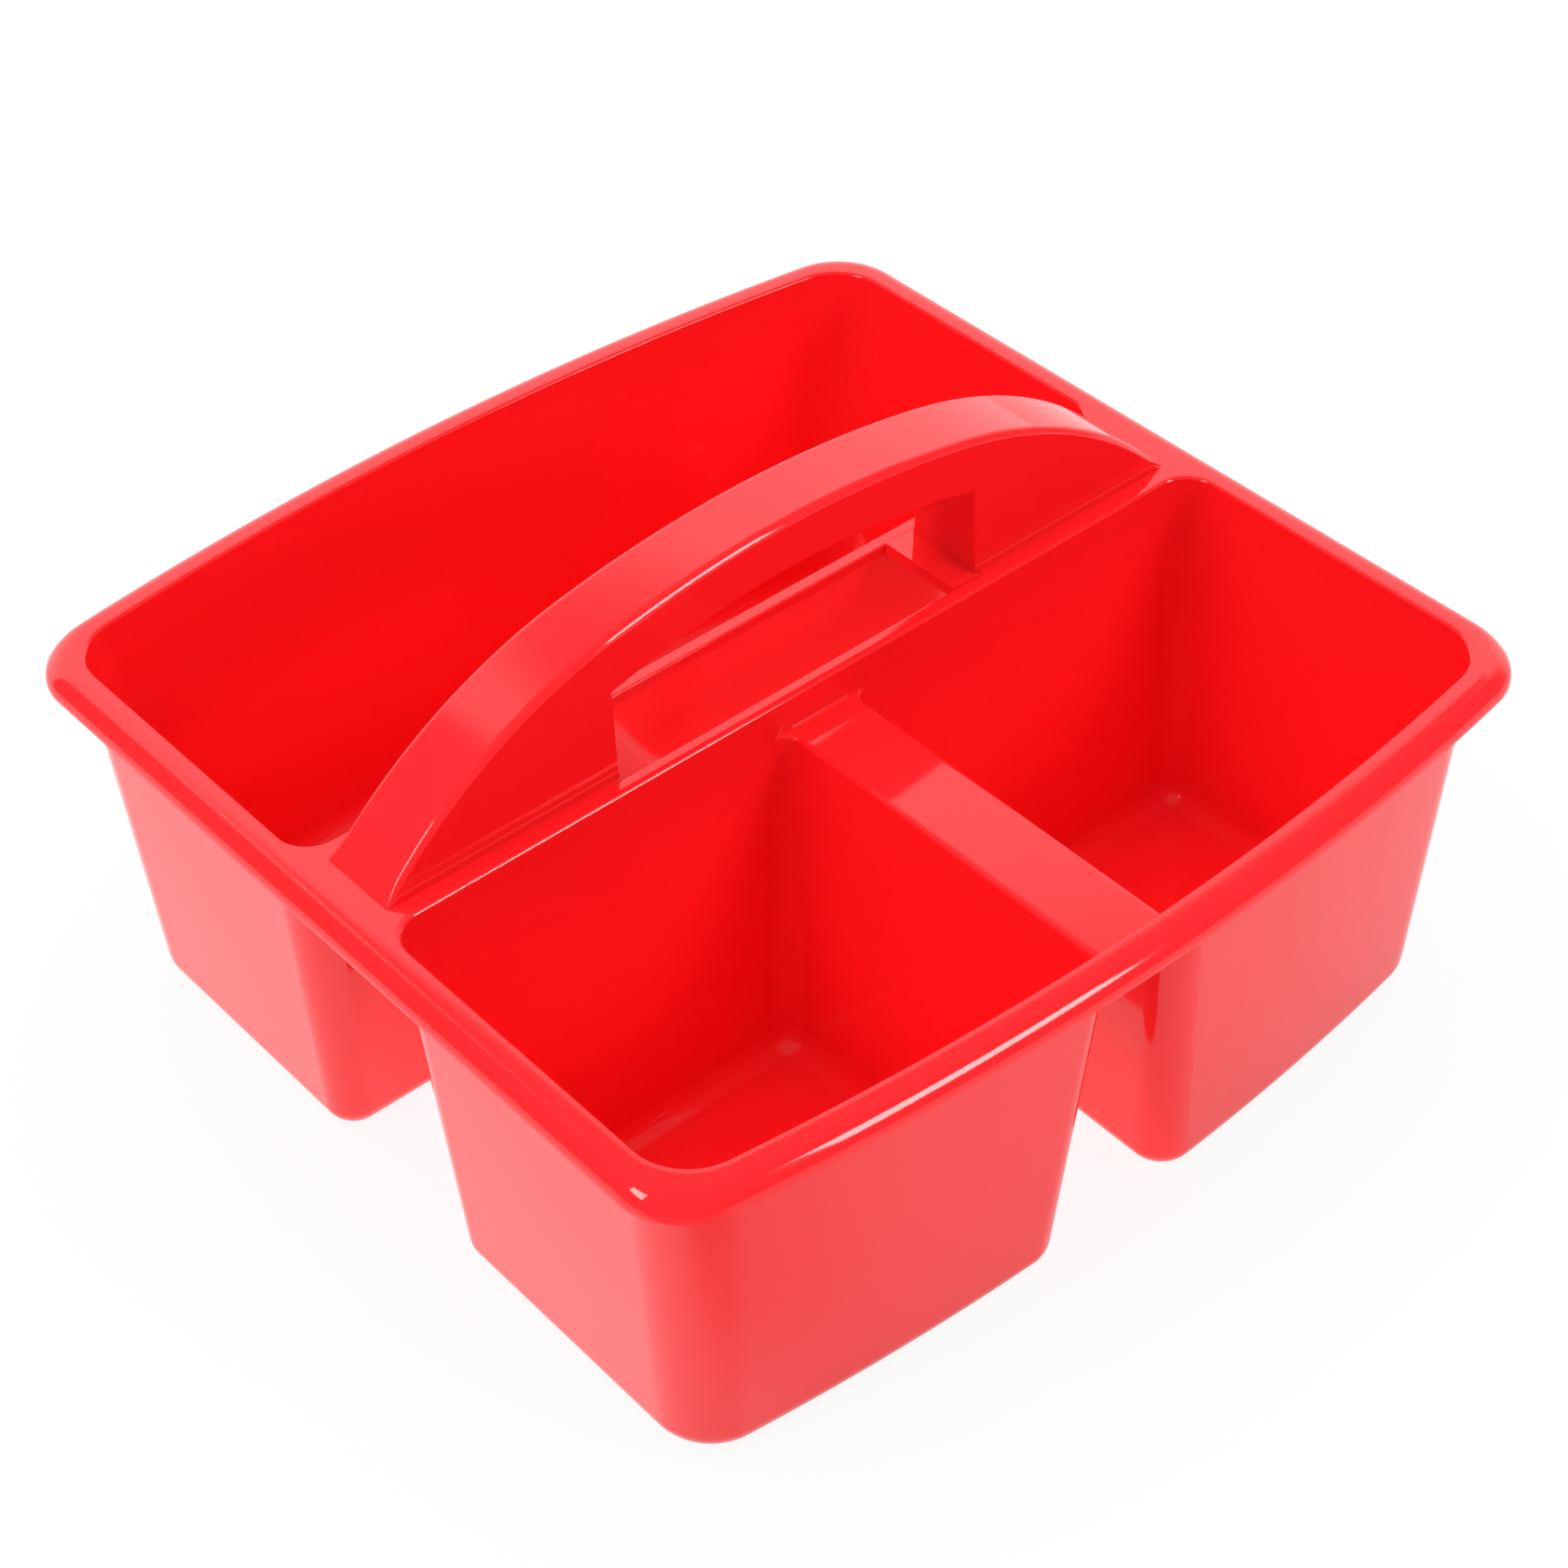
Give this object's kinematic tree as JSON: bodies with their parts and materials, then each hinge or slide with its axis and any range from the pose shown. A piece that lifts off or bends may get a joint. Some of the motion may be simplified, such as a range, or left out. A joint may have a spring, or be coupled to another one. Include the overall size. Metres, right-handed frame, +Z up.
{
  "type": "art supply caddy",
  "caption": "Moulded plastic desk caddy with one long bin behind, two short bins in front, a rolled rim and an arched carrying handle.",
  "frame": {"origin": "centre of the footprint, on the surface the caddy stands on", "axes": "+Z up, +X along the handle, -Y towards the side with the two short bins"},
  "size_m": [0.235, 0.234, 0.13],
  "materials": {
    "red_plastic": "glossy moulded polypropylene or polystyrene, solid red"
  },
  "bodies": {
    "root": {"back_bin": "red_plastic", "front_left_bin": "red_plastic", "front_right_bin": "red_plastic", "front_collar": "red_plastic", "front_divider": "red_plastic", "deck": "red_plastic", "rim": "red_plastic", "handle": "red_plastic"}
  },
  "joints": []
}
